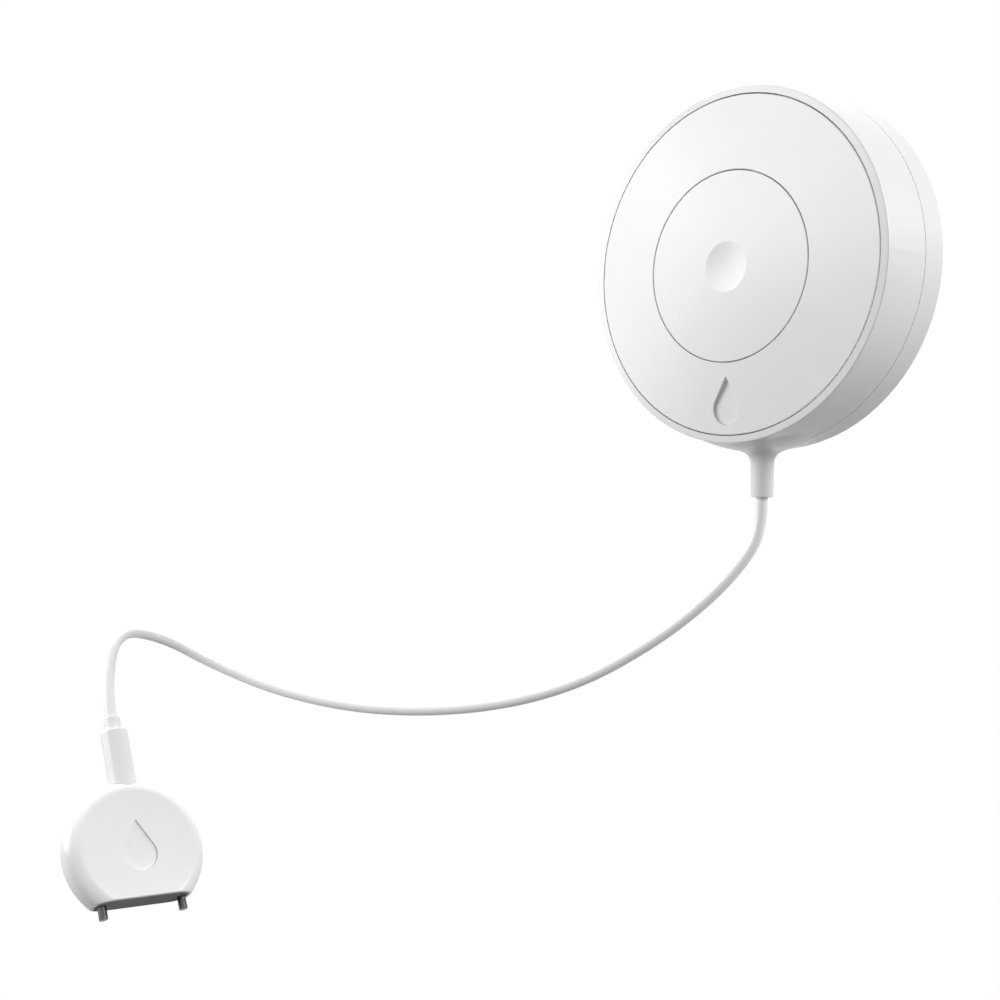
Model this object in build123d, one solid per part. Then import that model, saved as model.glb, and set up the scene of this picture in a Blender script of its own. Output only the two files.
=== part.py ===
from build123d import *
from math import acos, asin, cos, hypot, pi, radians, sin, sqrt, tan
import os

os.makedirs("parts", exist_ok=True)

# Lengths are in millimetres. A depth is measured forward from the wall face, so depth d lies at y = -d.

# Clearances
fit = 0.05
running_gap = 0.15
turning_gap = 0.3
overrun = 2.0

# Edge rounds
edge_radius = 0.3
groove_round = 0.15
back_edge_radius = 0.6

quarter_turn = 90
half_turn = 180
full_turn = 360

# Two AAA cells side by side, which the disc is built around
cell_radius = 5.25
cell_length = 44.5
cell_nub_radius = 1.9
cell_nub_length = 0.8
cell_spacing = 0.4
cell_front_gap = 0.2
cell_rib_gap = 1.05
cell_pitch = 2 * cell_radius + cell_spacing

# Battery bay
contact_room = 2.0
contact_plate = 0.4
contact_width_share = 1.45
contact_height_share = 1.6
contact_dome_radius = 2.2
contact_width = contact_width_share * cell_radius
contact_height = contact_height_share * cell_radius
bay_length = cell_length + 2 * contact_room
bay_width = 2 * cell_pitch
tray_wall = 1.0
tray_floor = 1.1
tray_peg_radius = 0.9
tray_peg_inset = 3.0
tray_edge = bay_width / 2 + tray_wall

# Battery door: it lets both cells through and is held by three bayonet lugs
door_cell_gap = 0.41
door_neck_wall = 1.6
lug_reach = 2.0
lug_thickness = 1.0
lug_gap = 0.2
lug_count = 3
lug_width_angle = 24
notch_extra_angle = 3
door_turn_angle = 30
door_seal_margin = 0.5
door_seal_radius = 0.45
door_lip = 0.6
door_flange_gap = 0.1
door_recess_depth = 1.6
door_web = 1.2
door_rib = 1.0
door_rib_height = 1.2
finger_circle_share = 0.677
finger_width = 5.6
finger_angle = 40
finger_depth = 0.7
neck_inner_radius = hypot(cell_length / 2, cell_pitch / 2 + cell_radius) + door_cell_gap
neck_radius = neck_inner_radius + door_neck_wall
door_opening_radius = neck_radius + turning_gap
notch_radius = neck_radius + lug_reach + turning_gap
door_seal_circle = notch_radius + door_seal_margin + door_seal_radius + fit
door_radius = door_seal_circle + door_seal_radius + fit + door_lip
door_recess_radius = door_radius + turning_gap
door_thickness = door_recess_depth - door_flange_gap
rear_wall = door_recess_depth + door_web
lug_start = rear_wall + lug_gap
door_neck_end = lug_start + lug_thickness
finger_circle = finger_circle_share * neck_inner_radius

# Housing screws
screw_count = 4
screw_web = 0.75
screw_radius = 1.0
screw_head_radius = 1.9
screw_head_height = 1.3
screw_head_sink = 0.3
screw_bite = 5.3
screw_slot = 0.6
screw_slot_depth = 0.6
boss_wall = 1.6
boss_height = 3.2
screw_circle = door_recess_radius + screw_web + screw_head_radius + running_gap
boss_radius = screw_radius + boss_wall
boss_end = rear_wall + boss_height
screw_length = boss_end + screw_bite - screw_head_sink

# Depths of the battery bay, the board and the front wall
board_thickness = 1.0
board_gap = 0.4
front_wall = 1.2
plate_height = 2.2
tray_back = door_neck_end + turning_gap
cell_depth = door_thickness + door_rib_height + cell_rib_gap + cell_radius
tray_floor_back = cell_depth + cell_radius + cell_front_gap
board_back = tray_floor_back + tray_floor
board_front = board_back + board_thickness
front_wall_back = board_front + board_gap
front_wall_depth = front_wall_back + front_wall
face_edge_depth = front_wall_depth + plate_height

# Outside form of the disc
housing_wall = 2.0
rear_side_wall = 1.6
rear_side_height = 4.1
side_taper = 1.7
rim_rise = 0.2
rim_band = 1.8
dome_rise = 1.0
groove_width = 0.26
button_opening_share = 0.564
seam_width = 0.2
spigot_gap = 0.3
spigot_wall = 2.15
spigot_clearance = 0.37
spigot_lip = 0.75
seal_rise = 2.1
seal_radius = 0.6
seam_depth = rear_wall + rear_side_height
seal_depth = seam_depth + seal_rise
spigot_end = seal_depth + seal_radius + fit + spigot_lip
rim_depth = face_edge_depth - rim_rise
spigot_inner_radius = screw_circle + boss_radius + spigot_gap
spigot_outer_radius = spigot_inner_radius + spigot_wall
spigot_taper = side_taper * spigot_end / rim_depth
back_radius = spigot_outer_radius + spigot_clearance + housing_wall + spigot_taper
rim_radius = back_radius - side_taper
face_radius = rim_radius - rim_band
dome_radius = (face_radius**2 + dome_rise**2) / (2 * dome_rise)
button_opening_radius = button_opening_share * face_radius
button_radius = button_opening_radius - groove_width / 2
plate_inner_radius = button_opening_radius + groove_width / 2
plate_outer_radius = face_radius - groove_width / 2
recess_radius = face_radius + groove_width / 2

# Face plate
plate_skin = 1.4
plate_rim = 1.6

# Button
button_travel = 0.5
button_skin = 1.3
button_skirt = 1.4
flange_width = 1.4
stop_gap = 0.1
post_radius = 2.0
button_rib = 0.8
button_rib_height = 0.8
button_rib_count = 6
dimple_radius = 6.0
dimple_depth = 0.35
button_flange_radius = button_radius + flange_width

# Drop figures: the tip stands this share of the belly's radius above the belly's centre
drop_tip_share = 2.05
disc_drop_radius = 3.75
disc_drop_margin = 2.25
drop_pocket_wall = 1.2
lens_thickness = 1.0
lens_recess = 0.8
stem_radius = 1.2
stem_rise = 3.0
disc_drop_height = disc_drop_radius + disc_drop_margin - plate_outer_radius
stem_height = disc_drop_height + stem_rise

# Circuit board and what stands on it
board_margin = 0.6
board_screw_radius = 0.8
board_screw_head_radius = 1.5
board_screw_head_height = 0.9
board_screw_inset = 3.0
board_screw_gap = 0.6
board_boss_radius = 1.9
board_boss_height = 1.0
board_screw_tip_gap = 0.3
switch_size = 4.5
switch_height = 1.2
switch_floor = 0.15
switch_clearance = 0.82
plunger_radius = 1.1
plunger_stroke_top = 0.6
led_length = 1.6
led_width = 0.8
led_height = 0.6
radio_length = 18.0
radio_width = 12.0
radio_thickness = 0.8
radio_x = -2.0
radio_gap = 1.7
shield_length_share = 0.667
shield_width_share = 0.833
shield_height = 1.8
buzzer_radius = 4.5
buzzer_height = 3.2
buzzer_x_share = 0.484
buzzer_gap = 3.1
buzzer_port_radius = 0.9
chip_size = 7.0
chip_height = 1.0
chip_x_share = 0.468
chip_gap = 4.1
capacitor_radius = 1.6
capacitor_height = 3.0
capacitor_x_share = 0.245
capacitor_pitch = 4.8
socket_width = 7.2
socket_height = 5.0
socket_depth = 3.95
socket_wall = 0.7
socket_gap = 5.7
plug_length = 6.0
plug_gap = 0.1
board_radius = screw_circle - boss_radius - board_margin
board_screw_circle = board_radius - board_screw_inset
board_screw_z = tray_edge + board_screw_gap + board_screw_head_radius
board_screw_x = sqrt(board_screw_circle**2 - board_screw_z**2)
front_wall_hole_radius = switch_size / sqrt(2) + switch_clearance
switch_top = board_front + switch_height
plunger_top = switch_top + plunger_stroke_top
radio_z = tray_edge + radio_gap + radio_width / 2
shield_length = shield_length_share * radio_length
shield_width = shield_width_share * radio_width
buzzer_x = buzzer_x_share * board_radius
buzzer_z = -(tray_edge + buzzer_gap + buzzer_radius)
chip_x = -chip_x_share * board_radius
chip_z = -(tray_edge + chip_gap + chip_size / 2)
capacitor_x = -capacitor_x_share * board_radius
socket_z = -(tray_edge + socket_gap + socket_height / 2)

# Cable and the disc's boot
cable_radius = 1.45
boot_neck_wall = 0.65
boot_flange_wall = 0.85
boot_wall = 1.3
boot_draft = 0.1
boot_flare_reach = 1.7
boot_flare_radius = 2.4
boot_flare_lift = 0.15
boot_length = 10.85
boot_flange = 1.4
boot_floor_gap = 0.2
tail_extra = 0.5
first_run = 6.3
lead_radius = 0.5
lead_spacing = 1.5
cable_hole_radius = cable_radius + fit
boot_neck_radius = cable_hole_radius + boot_neck_wall
boot_flange_radius = boot_neck_radius + boot_flange_wall
boot_radius = cable_hole_radius + boot_wall
boot_tip_radius = boot_radius - boot_draft
boot_root_radius = boot_radius + boot_flare_reach
boot_depth = rear_wall + boot_flange_radius + boot_floor_gap

# The shells swell a little round the boot, highest in the boot's own plane
swell_rise = 1.08
swell_front_rise = 0.15
swell_back_rise = 0.05
swell_bend_share = 0.706
swell_bend_radius = swell_bend_share * back_radius

# Probe, in its own frame: front face at y = 0 facing -y, base down
probe_radius = 17.75
probe_thickness = 7.8
probe_front_round_share = 0.436
probe_back_round_share = 0.359
probe_base_share = 0.71
probe_base_round = 0.4
probe_wall = 1.3
probe_drop_radius = 4.3
probe_drop_low_share = 0.11
probe_drop_depth = 0.55
probe_boot_wall = 1.95
probe_boot_length = 14.2
probe_neck_wall = 0.5
probe_neck_flange_wall = 0.3
probe_neck_flange = 2.0
sleeve_wall = 0.6
sleeve_length = 3.8
sleeve_seat = 6.0
last_run = 10.0
pin_radius = 1.05
pin_reach = 3.33
pin_inset = 2.3
pin_tip_round = 0.25
pin_seal_radius = 0.4
pin_seal_floor = 0.4
pin_head_radius = 1.5
pin_head_height = 0.5
probe_board_margin = 0.6
probe_board_gap = 0.9
probe_board_thickness = 1.0
probe_board_lift = 1.0
probe_lead_spread_share = 0.3
probe_front_round = probe_front_round_share * probe_thickness
probe_back_round = probe_back_round_share * probe_thickness
probe_base = probe_base_share * probe_radius
probe_drop_height = -probe_drop_low_share * probe_radius
probe_boot_radius = cable_hole_radius + probe_boot_wall
probe_neck_radius = cable_hole_radius + probe_neck_wall
probe_neck_flange_radius = probe_neck_radius + probe_neck_flange_wall
sleeve_radius = cable_hole_radius + sleeve_wall
pin_spacing = 2 * (sqrt(probe_radius**2 - probe_base**2) - pin_inset)
probe_board_length = pin_spacing + 2 * (pin_radius + fit + probe_board_margin)
probe_board_width = probe_thickness - 2 * (probe_wall + probe_board_gap)
probe_lead_spread = probe_lead_spread_share * pin_spacing

# Where the probe stands: it leans back on its pins and the rear edge of its base
probe_x = -103.14
probe_y = -117.9
probe_z = -139.91
probe_heading = 92.86
probe_lean = 35.81
probe_roll = 8.76

# The free cord between its two straight ends, from the disc to the probe
cord_points = [
    (-2.0, -7.4, -67.5),
    (-9.2, -12.8, -78.4),
    (-21.5, -19.9, -90.4),
    (-39.7, -30.2, -103.1),
    (-62.1, -42.5, -110.7),
    (-88.6, -56.7, -113.5),
    (-113.8, -68.7, -111.1),
    (-135.7, -78.0, -105.1),
    (-148.9, -87.9, -97.2),
    (-143.2, -104.4, -92.5),
]
corner_share = 0.45


# The side wall narrows in a straight line from the wall face to the rim
def side_radius(depth):
    return back_radius - (back_radius - rim_radius) * depth / rim_depth


def inner_radius(depth):
    return side_radius(depth) - housing_wall


# Depth of the shallow dome over the face plate and button
def dome(radius):
    return face_edge_depth + dome_rise - dome_radius + sqrt(dome_radius**2 - radius**2)


def at(radius, depth):
    return (radius, -depth)


def dome_arc(inner, outer):
    middle = (inner + outer) / 2
    return ThreePointArc(at(inner, dome(inner)), at(middle, dome(middle)), at(outer, dome(outer)))


# Turns an outline of curves about the disc's axis, with some of its corners rounded
def turned(outline, corners=(), round_radius=0, angle=full_turn):
    profile = make_face(outline)
    if corners:
        spots = [(radius, -depth, 0) for radius, depth in corners]
        profile = fillet([profile.vertices().sort_by_distance(spot)[0] for spot in spots], round_radius)
    return revolve(profile, Axis.Y, angle)


def ring_outline(*points):
    return Polyline(*[at(radius, depth) for radius, depth in points], close=True)


# Sweeps a section part of the way round the axis, angles measured from the top towards +x
def sector(outline, middle_angle, width_angle):
    part = turned(outline, angle=width_angle)
    return Rot(0, middle_angle - width_angle / 2 - quarter_turn, 0) * part


# Raises a flat figure, drawn in x and z, between two depths
def prism(figure, depth_from, depth_to):
    return extrude(Plane.XZ.offset(depth_from) * figure, depth_to - depth_from)


def polar(radius, angle):
    return Pos(radius * sin(radians(angle)), radius * cos(radians(angle)))


# Turns an outline of radius and height about the vertical axis
def spun(outline):
    return revolve(Plane.XZ * make_face(outline), Axis.Z)


def screw_spots():
    step = full_turn / screw_count
    return [polar(screw_circle, step * (index + 1 / 2)) for index in range(screw_count)]


# A drop with its belly's centre at the origin: an arc and two straight flanks that touch it
def drop_figure(radius):
    tip = drop_tip_share * radius
    rise = asin(radius / tip)
    touch_x, touch_y = radius * cos(rise), radius * sin(rise)
    belly = ThreePointArc((touch_x, touch_y), (0, -radius), (-touch_x, touch_y))
    flanks = Polyline((-touch_x, touch_y), (0, tip), (touch_x, touch_y))
    return make_face(belly + flanks)


def boot_axis():
    return Pos(0, -boot_depth, 0)


def shell_bottom():
    return -side_radius(boot_depth) - swell_rise


def boot_hole():
    top = -spigot_inner_radius + overrun
    low = shell_bottom() - overrun
    return boot_axis() * Pos(0, 0, (top + low) / 2) * Cylinder(boot_neck_radius + fit, top - low)


# A barrel about a lower axis whose bottom stands a little outside the side wall near the boot
def swell_barrel(extra):
    axis_z = shell_bottom() + swell_bend_radius

    def spot(depth, rise):
        return at(side_radius(depth) + rise + axis_z + extra, depth)

    back, front = back_edge_radius, rim_depth - edge_radius
    back_spot, front_spot = spot(back, swell_back_rise), spot(front, swell_front_rise)
    bulge = ThreePointArc(back_spot, spot(boot_depth, swell_rise), front_spot)
    outline = bulge + Polyline(front_spot, at(0, front), at(0, back), back_spot)
    return Pos(0, 0, axis_z) * turned(outline)


# The space inside the side wall's outer face, moved outward by a distance
def side_core(outward):
    low, high = -overrun, rim_depth + overrun
    return turned(
        ring_outline(
            (0, low),
            (side_radius(low) + outward, low),
            (side_radius(high) + outward, high),
            (0, high),
        )
    )


def swell():
    return swell_barrel(0) - side_core(-housing_wall / 2)


def front_housing():
    start = seam_depth + seam_width / 2
    shell = turned(
        ring_outline(
            (side_radius(start), start),
            (rim_radius, rim_depth),
            (recess_radius, face_edge_depth),
            (recess_radius, front_wall_depth),
            (front_wall_hole_radius, front_wall_depth),
            (front_wall_hole_radius, front_wall_back),
            (inner_radius(front_wall_back), front_wall_back),
            (inner_radius(start), start),
        ),
        [(rim_radius, rim_depth)],
        edge_radius,
    )
    shell += swell() - prism(Circle(back_radius + overrun), 0, start)
    for spot in screw_spots():
        shell += prism(spot * Circle(boss_radius), boss_end, front_wall_depth - front_wall / 2)
    for spot in board_screw_spots():
        shell += prism(spot * Circle(board_boss_radius), board_front, front_wall_depth + board_boss_height)
    for spot in screw_spots():
        shell -= prism(spot * Circle(screw_radius + fit), boss_end - overrun, front_wall_back - fit)
    pilot_end = front_wall_depth + board_boss_height - board_screw_tip_gap
    for spot in board_screw_spots():
        shell -= prism(spot * Circle(board_screw_radius + fit), board_front - overrun, pilot_end)
    shell -= prism(Pos(0, stem_height) * Circle(stem_radius + running_gap), board_front, face_edge_depth)
    return shell - boot_hole()


def drop_spot():
    return Pos(0, disc_drop_height)


def face_plate():
    rim_inner = plate_outer_radius - plate_rim
    outline = dome_arc(plate_inner_radius, plate_outer_radius) + Polyline(
        at(plate_outer_radius, dome(plate_outer_radius)),
        at(plate_outer_radius, front_wall_depth),
        at(rim_inner, front_wall_depth),
        at(rim_inner, dome(rim_inner) - plate_skin),
        at(plate_inner_radius, dome(plate_inner_radius) - plate_skin),
        at(plate_inner_radius, dome(plate_inner_radius)),
    )
    soft_corners = [
        (plate_inner_radius, dome(plate_inner_radius)),
        (plate_outer_radius, dome(plate_outer_radius)),
    ]
    plate = turned(outline, soft_corners, groove_round)
    boss_figure = drop_spot() * drop_figure(disc_drop_radius + drop_pocket_wall)
    boss_figure -= Circle(button_flange_radius + turning_gap)
    boss_top = dome(-disc_drop_height) - plate_skin / 2
    plate += prism(boss_figure, front_wall_depth, boss_top)
    pocket_floor = dome(-disc_drop_height) - lens_recess - lens_thickness
    plate -= prism(drop_spot() * drop_figure(disc_drop_radius), pocket_floor, face_edge_depth + overrun)
    stem_hole = Pos(0, stem_height) * Circle(stem_radius + running_gap)
    return plate - prism(stem_hole, board_front, pocket_floor + fit)


def drop_lens():
    seat = dome(-disc_drop_height) - lens_recess - lens_thickness
    plate = prism(drop_spot() * drop_figure(disc_drop_radius - fit), seat, seat + lens_thickness)
    stem_end = board_front + led_height + running_gap
    return plate + prism(Pos(0, stem_height) * Circle(stem_radius), stem_end, seat + lens_thickness / 2)


def button_cap():
    flange_top = dome(button_flange_radius) - plate_skin - running_gap
    flange_bottom = front_wall_depth + button_travel + stop_gap
    skirt_inner = button_radius - button_skirt
    outline = dome_arc(0, button_radius) + Polyline(
        at(button_radius, dome(button_radius)),
        at(button_radius, flange_top),
        at(button_flange_radius, flange_top),
        at(button_flange_radius, flange_bottom),
        at(skirt_inner, flange_bottom),
        at(skirt_inner, dome(skirt_inner) - button_skin),
        at(0, dome(0) - button_skin),
        at(0, dome(0)),
    )
    cap = turned(outline, [(button_radius, dome(button_radius))], groove_round)
    cap += prism(Circle(post_radius), plunger_top + fit, dome(0) - button_skin / 2)
    rib_top = dome(skirt_inner) - button_skin / 2
    rib = Pos(0, skirt_inner / 2) * Rectangle(button_rib, skirt_inner)
    for index in range(button_rib_count):
        turned_rib = Rot(0, 0, full_turn * index / button_rib_count) * rib
        cap += prism(turned_rib, rib_top - button_skin / 2 - button_rib_height, rib_top)
    dish_radius = (dimple_radius**2 + dimple_depth**2) / (2 * dimple_depth)
    return cap - Pos(0, -(dome(0) - dimple_depth + dish_radius), 0) * Sphere(dish_radius)


def board_screw_spots():
    return [Pos(x, z) for x in (-board_screw_x, board_screw_x) for z in (-board_screw_z, board_screw_z)]


def main_board():
    board = prism(Circle(board_radius), board_back, board_front)
    for spot in board_screw_spots():
        board -= prism(spot * Circle(board_screw_radius + fit), 0, front_wall_depth)
    for spot in tray_peg_spots():
        board -= prism(spot * Circle(tray_peg_radius + fit), 0, front_wall_depth)
    return board


def board_screws():
    tip = front_wall_depth + board_boss_height - board_screw_tip_gap - fit
    screws = []
    for spot in board_screw_spots():
        screw = prism(spot * Circle(board_screw_head_radius), board_back - board_screw_head_height, board_back)
        screws.append(screw + prism(spot * Circle(board_screw_radius), board_back - board_screw_head_height, tip))
    return screws


def switch_body():
    body = prism(Rectangle(switch_size, switch_size), board_front, switch_top)
    return body - prism(Circle(plunger_radius + running_gap), board_front + switch_floor, switch_top + overrun)


def switch_plunger():
    bottom = board_front + switch_floor + button_travel + fit
    return prism(Circle(plunger_radius), bottom, plunger_top)


def status_led():
    return prism(Pos(0, stem_height) * Rectangle(led_length, led_width), board_front, board_front + led_height)


def radio_module():
    outline = Pos(radio_x, radio_z) * Rectangle(radio_length, radio_width)
    return prism(outline, board_back - radio_thickness, board_back)


def radio_shield():
    spot = Pos(radio_x + (radio_length - shield_length) / 2, radio_z)
    seat = board_back - radio_thickness
    can = prism(spot * Rectangle(shield_length, shield_width), seat - shield_height, seat)
    return fillet(can.edges().filter_by(Axis.Y), edge_radius)


def buzzer():
    spot = Pos(buzzer_x, buzzer_z)
    body = prism(spot * Circle(buzzer_radius), board_back - buzzer_height, board_back)
    return body - prism(spot * Circle(buzzer_port_radius), 0, board_back - buzzer_height / 2)


def board_chips():
    outline = Pos(chip_x, chip_z) * Rectangle(chip_size, chip_size)
    parts = [prism(outline, board_back - chip_height, board_back)]
    for side in (-1, 1):
        can = Pos(capacitor_x, chip_z + side * capacitor_pitch / 2) * Circle(capacitor_radius)
        parts.append(prism(can, board_back - capacitor_height, board_back))
    return parts


def tray_peg_spots():
    reach_x = bay_length / 2 - tray_peg_inset
    reach_z = bay_width / 2 - tray_peg_inset
    return [Pos(x, z) for x in (-reach_x, reach_x) for z in (-reach_z, reach_z)]


def battery_tray():
    outer = Rectangle(bay_length + 2 * tray_wall, bay_width + 2 * tray_wall)
    tray = prism(outer, tray_back, board_back)
    tray -= prism(Rectangle(bay_length, bay_width), tray_back - overrun, tray_floor_back)
    for spot in tray_peg_spots():
        tray += prism(spot * Circle(tray_peg_radius), tray_floor_back, board_front)
    return tray


def cell_spots():
    return [(-1, cell_pitch / 2), (1, -cell_pitch / 2)]


def battery_cells():
    cells = []
    for side, height in cell_spots():
        can_length = cell_length - cell_nub_length
        can = Rot(0, quarter_turn, 0) * Cylinder(cell_radius, can_length)
        nub = Rot(0, quarter_turn, 0) * Cylinder(cell_nub_radius, 2 * cell_nub_length)
        nub = Pos(side * can_length / 2, 0, 0) * nub
        cell = Pos(-side * cell_nub_length / 2, 0, 0) * (can + nub)
        cells.append(Pos(0, -cell_depth, height) * cell)
    return cells


# A plate on the bay's end wall with a round dome that presses on the cell
def battery_contacts():
    contacts = []
    reach = contact_room - contact_plate
    for end in (-1, 1):
        for _, height in cell_spots():
            plate_x = end * (bay_length / 2 - contact_plate / 2)
            plate = Pos(plate_x, 0, 0) * Box(contact_plate, contact_height, contact_width)
            dome_x = end * (cell_length / 2 + fit + reach / 2)
            dome_post = Pos(dome_x, 0, 0) * Rot(0, quarter_turn, 0) * Cylinder(contact_dome_radius, reach)
            contacts.append(Pos(0, -cell_depth, height) * (plate + dome_post))
    return contacts


def rear_housing():
    end = seam_depth - seam_width / 2
    side_inner = side_radius(end) - rear_side_wall
    groove_floor = inner_radius(seal_depth) - 2 * seal_radius - 2 * fit
    groove_from = seal_depth - seal_radius - fit
    groove_to = seal_depth + seal_radius + fit
    shell = turned(
        ring_outline(
            (door_recess_radius, 0),
            (back_radius, 0),
            (side_radius(end), end),
            (side_inner, end),
            (side_inner, rear_wall),
            (spigot_outer_radius, rear_wall),
            (spigot_outer_radius, groove_from),
            (groove_floor, groove_from),
            (groove_floor, groove_to),
            (spigot_outer_radius, groove_to),
            (spigot_outer_radius, spigot_end),
            (spigot_inner_radius, spigot_end),
            (spigot_inner_radius, rear_wall),
            (door_opening_radius, rear_wall),
            (door_opening_radius, door_recess_depth),
            (door_recess_radius, door_recess_depth),
        ),
        [(back_radius, 0)],
        back_edge_radius,
    )
    shell += swell() - prism(Circle(back_radius + overrun), end, rim_depth)
    for spot in screw_spots():
        shell += prism(spot * Circle(boss_radius), rear_wall / 2, boss_end - fit)
    for spot in screw_spots():
        shell -= prism(spot * Circle(screw_radius + running_gap), -overrun, boss_end + overrun)
        head_room = screw_head_sink + screw_head_height
        shell -= prism(spot * Circle(screw_head_radius + running_gap), -overrun, head_room)
    notch = ring_outline(
        (door_opening_radius - overrun, door_recess_depth / 2),
        (notch_radius, door_recess_depth / 2),
        (notch_radius, rear_wall + overrun),
        (door_opening_radius - overrun, rear_wall + overrun),
    )
    for index in range(lug_count):
        middle = full_turn * index / lug_count + door_turn_angle
        shell -= sector(notch, middle, lug_width_angle + notch_extra_angle)
    return shell - boot_hole()


def housing_seal():
    ring_radius = inner_radius(seal_depth) - seal_radius - fit
    return Pos(0, -seal_depth, 0) * Rot(quarter_turn, 0, 0) * Torus(ring_radius, seal_radius)


def housing_screws():
    screws = []
    for spot in screw_spots():
        head_end = screw_head_sink + screw_head_height
        screw = prism(spot * Circle(screw_head_radius), screw_head_sink, head_end)
        screw += prism(spot * Circle(screw_radius), screw_head_sink, screw_head_sink + screw_length)
        slot = spot * Rectangle(2 * screw_head_radius + overrun, screw_slot)
        screws.append(screw - prism(slot, 0, screw_head_sink + screw_slot_depth))
    return screws


def door_seal_floor():
    return door_thickness - 2 * door_seal_radius


def battery_door():
    groove_inner = door_seal_circle - door_seal_radius - fit
    groove_outer = door_seal_circle + door_seal_radius + fit
    door = turned(
        ring_outline(
            (0, 0),
            (door_radius, 0),
            (door_radius, door_thickness),
            (groove_outer, door_thickness),
            (groove_outer, door_seal_floor()),
            (groove_inner, door_seal_floor()),
            (groove_inner, door_thickness),
            (neck_radius, door_thickness),
            (neck_radius, door_neck_end),
            (neck_inner_radius, door_neck_end),
            (neck_inner_radius, door_thickness),
            (0, door_thickness),
        ),
        [(door_radius, 0)],
        edge_radius,
    )
    lug = ring_outline(
        (neck_radius - door_neck_wall / 2, lug_start),
        (neck_radius + lug_reach, lug_start),
        (neck_radius + lug_reach, door_neck_end),
        (neck_radius - door_neck_wall / 2, door_neck_end),
    )
    for index in range(lug_count):
        door += sector(lug, full_turn * index / lug_count, lug_width_angle)
    for angle in (0, quarter_turn):
        rib = Rot(0, 0, angle) * Rectangle(2 * neck_inner_radius, door_rib)
        door += prism(rib, door_thickness / 2, door_thickness + door_rib_height)
    finger = ring_outline(
        (finger_circle - finger_width / 2, -overrun),
        (finger_circle + finger_width / 2, -overrun),
        (finger_circle + finger_width / 2, finger_depth),
        (finger_circle - finger_width / 2, finger_depth),
    )
    for side in (quarter_turn, quarter_turn + half_turn):
        door -= sector(finger, side, finger_angle)
    return door


def door_seal():
    middle = door_seal_floor() + door_seal_radius + fit / 2
    return Pos(0, -middle, 0) * Rot(quarter_turn, 0, 0) * Torus(door_seal_circle, door_seal_radius)


def boot_end():
    return shell_bottom() - boot_length


# The boot's flange sits flat against the curved inside of the spigot, on its outer corners
def flange_bottom():
    return fit - sqrt(spigot_inner_radius**2 - boot_flange_radius**2)


def tail_end():
    return flange_bottom() + boot_flange + tail_extra


def cable_boot():
    swing = acos(1 - (boot_root_radius - boot_radius) / boot_flare_radius)
    flare_top = shell_bottom() + boot_flare_lift
    flare_end = flare_top - boot_flare_radius * sin(swing)
    half = swing / 2
    flare = ThreePointArc(
        (boot_root_radius, flare_top),
        (boot_radius + boot_flare_radius * (1 - cos(half)), flare_end + boot_flare_radius * sin(half)),
        (boot_radius, flare_end),
    )
    body_top = flare_top + overrun
    outline = flare + Polyline(
        (boot_radius, flare_end),
        (boot_tip_radius, boot_end()),
        (0, boot_end()),
        (0, body_top),
        (boot_root_radius, body_top),
        (boot_root_radius, flare_top),
    )
    outside = boot_axis() * spun(outline) - side_core(fit) - swell_barrel(fit)
    flange_top = flange_bottom() + boot_flange
    neck = Polyline(
        (0, flange_top),
        (boot_flange_radius, flange_top),
        (boot_flange_radius, flange_bottom()),
        (boot_neck_radius, flange_bottom()),
        (boot_neck_radius, flare_end),
        (0, flare_end),
        close=True,
    )
    length = tail_end() - boot_end() + overrun
    bore = Pos(0, 0, (tail_end() + boot_end()) / 2) * Cylinder(cable_hole_radius, length)
    return outside + boot_axis() * spun(neck) - boot_axis() * bore


def cable_tail():
    length = tail_end() - boot_end()
    return boot_axis() * Pos(0, 0, (tail_end() + boot_end()) / 2) * Cylinder(cable_radius, length)


def lead_socket():
    low = socket_z - socket_height / 2
    socket = prism(Pos(0, socket_z) * Rectangle(socket_width, socket_height), board_back - socket_depth, board_back)
    inside = Rectangle(socket_width - 2 * socket_wall, socket_height)
    return socket - prism(
        Pos(0, low + (socket_height - 2 * socket_wall) / 2) * inside,
        board_back - socket_depth + socket_wall,
        board_back - socket_wall,
    )


def plug_z():
    return socket_z + socket_height / 2 - 2 * socket_wall - plug_gap - plug_length / 2


def plug_depth():
    return board_back - socket_depth / 2


def lead_plug():
    width = socket_width - 2 * socket_wall - 2 * plug_gap
    height = socket_depth - 2 * socket_wall - 2 * plug_gap
    figure = Pos(0, plug_z()) * Rectangle(width, plug_length)
    return prism(figure, plug_depth() - height / 2, plug_depth() + height / 2)


# A round tube along straight runs joined by arcs as large as the runs allow
def tube(points, radius):
    vectors = [Vector(*point) for point in points]
    bends = []
    for before, here, after in zip(vectors, vectors[1:], vectors[2:]):
        first, second = here - before, after - here
        turn = radians(first.get_angle(second))
        bends.append(corner_share * min(first.length, second.length) / tan(turn / 2))
    path = FilletPolyline(*vectors, radius=bends)
    start = vectors[0]
    section = Plane(start, z_dir=vectors[1] - start) * Circle(radius)
    return sweep(section, path), bends, path.length


def sensor_leads():
    leads = []
    for side in (-1, 1):
        x = side * lead_spacing / 2
        low = tail_end()
        high = plug_z() - plug_length / 2
        bend = (high - low) / 4
        points = [
            (x, -boot_depth, low),
            (x, -boot_depth, low + bend),
            (x, -plug_depth(), high - bend),
            (x, -plug_depth(), high),
        ]
        leads.append(tube(points, lead_radius)[0])
    return leads


def placed(part):
    turn = Rot(0, 0, probe_heading) * Rot(-probe_lean, 0, 0) * Rot(0, probe_roll, 0)
    return Pos(probe_x, probe_y, probe_z) * turn * part


def probe_point(height):
    return placed(Pos(0, probe_thickness / 2, height)).position


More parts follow.
